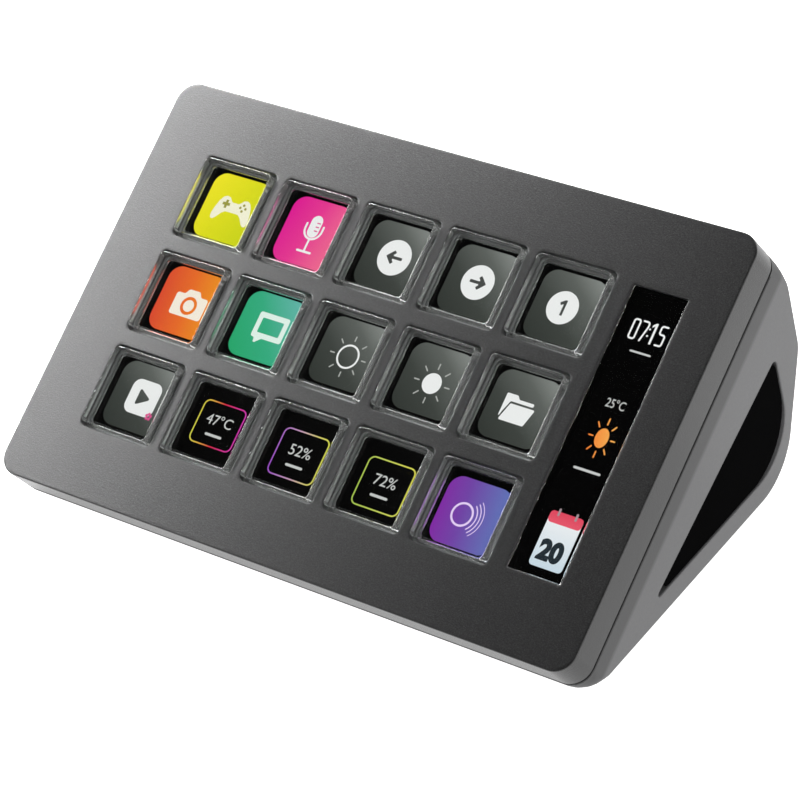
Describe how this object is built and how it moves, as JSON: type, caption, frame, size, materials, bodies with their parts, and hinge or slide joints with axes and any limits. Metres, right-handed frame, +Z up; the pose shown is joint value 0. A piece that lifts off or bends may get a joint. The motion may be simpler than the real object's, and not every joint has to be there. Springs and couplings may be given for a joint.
{
  "type": "desk macro keypad",
  "caption": "Wedge-shaped desk keypad with square clear display keys in a grid, a tall information strip at the right, and a USB socket at the back.",
  "frame": {"origin": "table level under the middle of the whole keypad", "axes": "+X to the user's right, +Y away from the user, +Z up; the front face leans back so that it rises towards +Y"},
  "size_m": [0.1316, 0.0788, 0.0535],
  "materials": {
    "cover_plastic": "fine grained matt",
    "shell_plastic": "fine grained matt",
    "black_plastic": "satin",
    "inner_plastic": "matt",
    "clear_acrylic": "polished, clear",
    "display_glass": "polished",
    "light_guide": "satin",
    "grey_silicone": "matt",
    "circuit_board": "solder mask",
    "ribbon_film": "polyimide film",
    "steel": "plated",
    "chip_black": "moulded",
    "ceramic": "ceramic",
    "connector_plastic": "moulded",
    "black_rubber": "matt"
  },
  "bodies": {
    "base": {"front_cover": "cover_plastic", "strip_window": "clear_acrylic", "key_membrane": "grey_silicone", "contact_board": "circuit_board", "contact_board_ribbon": "ribbon_film", "display_panel": "display_glass", "display_backlight": "light_guide", "display_tray": "steel", "display_ribbon": "ribbon_film", "display_carrier": "inner_plastic", "carrier_screws": "steel", "main_board": "circuit_board", "main_board_screws": "steel", "microcontroller": "chip_black", "memory_chip": "chip_black", "voltage_regulator": "chip_black", "crystal": "steel", "board_capacitors": "ceramic", "ribbon_connectors": "connector_plastic", "usb_board": "circuit_board", "usb_c_socket": "steel", "usb_board_screws": "steel", "usb_ribbon": "ribbon_film", "rear_shell": "shell_plastic", "side_inset_left": "black_plastic", "side_inset_right": "black_plastic", "housing_screws": "steel", "rubber_feet": "black_rubber"},
    "key_row1_col1": {"key_row1_col1": "clear_acrylic"},
    "key_row1_col2": {"key_row1_col2": "clear_acrylic"},
    "key_row1_col3": {"key_row1_col3": "clear_acrylic"},
    "key_row1_col4": {"key_row1_col4": "clear_acrylic"},
    "key_row1_col5": {"key_row1_col5": "clear_acrylic"},
    "key_row2_col1": {"key_row2_col1": "clear_acrylic"},
    "key_row2_col2": {"key_row2_col2": "clear_acrylic"},
    "key_row2_col3": {"key_row2_col3": "clear_acrylic"},
    "key_row2_col4": {"key_row2_col4": "clear_acrylic"},
    "key_row2_col5": {"key_row2_col5": "clear_acrylic"},
    "key_row3_col1": {"key_row3_col1": "clear_acrylic"},
    "key_row3_col2": {"key_row3_col2": "clear_acrylic"},
    "key_row3_col3": {"key_row3_col3": "clear_acrylic"},
    "key_row3_col4": {"key_row3_col4": "clear_acrylic"},
    "key_row3_col5": {"key_row3_col5": "clear_acrylic"}
  },
  "joints": [
    {"name": "key_row1_col1_press", "type": "slide", "parent": "base", "child": "key_row1_col1", "axis": [0, 0.5225, -0.8526], "range_m": [0, 0.0006], "stiffness_N_per_m": 700, "springref_m": -0.0004, "deforming": ["key_membrane"]},
    {"name": "key_row1_col2_press", "type": "slide", "parent": "base", "child": "key_row1_col2", "axis": [0, 0.5225, -0.8526], "range_m": [0, 0.0006], "stiffness_N_per_m": 700, "springref_m": -0.0004, "deforming": ["key_membrane"]},
    {"name": "key_row1_col3_press", "type": "slide", "parent": "base", "child": "key_row1_col3", "axis": [0, 0.5225, -0.8526], "range_m": [0, 0.0006], "stiffness_N_per_m": 700, "springref_m": -0.0004, "deforming": ["key_membrane"]},
    {"name": "key_row1_col4_press", "type": "slide", "parent": "base", "child": "key_row1_col4", "axis": [0, 0.5225, -0.8526], "range_m": [0, 0.0006], "stiffness_N_per_m": 700, "springref_m": -0.0004, "deforming": ["key_membrane"]},
    {"name": "key_row1_col5_press", "type": "slide", "parent": "base", "child": "key_row1_col5", "axis": [0, 0.5225, -0.8526], "range_m": [0, 0.0006], "stiffness_N_per_m": 700, "springref_m": -0.0004, "deforming": ["key_membrane"]},
    {"name": "key_row2_col1_press", "type": "slide", "parent": "base", "child": "key_row2_col1", "axis": [0, 0.5225, -0.8526], "range_m": [0, 0.0006], "stiffness_N_per_m": 700, "springref_m": -0.0004, "deforming": ["key_membrane"]},
    {"name": "key_row2_col2_press", "type": "slide", "parent": "base", "child": "key_row2_col2", "axis": [0, 0.5225, -0.8526], "range_m": [0, 0.0006], "stiffness_N_per_m": 700, "springref_m": -0.0004, "deforming": ["key_membrane"]},
    {"name": "key_row2_col3_press", "type": "slide", "parent": "base", "child": "key_row2_col3", "axis": [0, 0.5225, -0.8526], "range_m": [0, 0.0006], "stiffness_N_per_m": 700, "springref_m": -0.0004, "deforming": ["key_membrane"]},
    {"name": "key_row2_col4_press", "type": "slide", "parent": "base", "child": "key_row2_col4", "axis": [0, 0.5225, -0.8526], "range_m": [0, 0.0006], "stiffness_N_per_m": 700, "springref_m": -0.0004, "deforming": ["key_membrane"]},
    {"name": "key_row2_col5_press", "type": "slide", "parent": "base", "child": "key_row2_col5", "axis": [0, 0.5225, -0.8526], "range_m": [0, 0.0006], "stiffness_N_per_m": 700, "springref_m": -0.0004, "deforming": ["key_membrane"]},
    {"name": "key_row3_col1_press", "type": "slide", "parent": "base", "child": "key_row3_col1", "axis": [0, 0.5225, -0.8526], "range_m": [0, 0.0006], "stiffness_N_per_m": 700, "springref_m": -0.0004, "deforming": ["key_membrane"]},
    {"name": "key_row3_col2_press", "type": "slide", "parent": "base", "child": "key_row3_col2", "axis": [0, 0.5225, -0.8526], "range_m": [0, 0.0006], "stiffness_N_per_m": 700, "springref_m": -0.0004, "deforming": ["key_membrane"]},
    {"name": "key_row3_col3_press", "type": "slide", "parent": "base", "child": "key_row3_col3", "axis": [0, 0.5225, -0.8526], "range_m": [0, 0.0006], "stiffness_N_per_m": 700, "springref_m": -0.0004, "deforming": ["key_membrane"]},
    {"name": "key_row3_col4_press", "type": "slide", "parent": "base", "child": "key_row3_col4", "axis": [0, 0.5225, -0.8526], "range_m": [0, 0.0006], "stiffness_N_per_m": 700, "springref_m": -0.0004, "deforming": ["key_membrane"]},
    {"name": "key_row3_col5_press", "type": "slide", "parent": "base", "child": "key_row3_col5", "axis": [0, 0.5225, -0.8526], "range_m": [0, 0.0006], "stiffness_N_per_m": 700, "springref_m": -0.0004, "deforming": ["key_membrane"]}
  ]
}
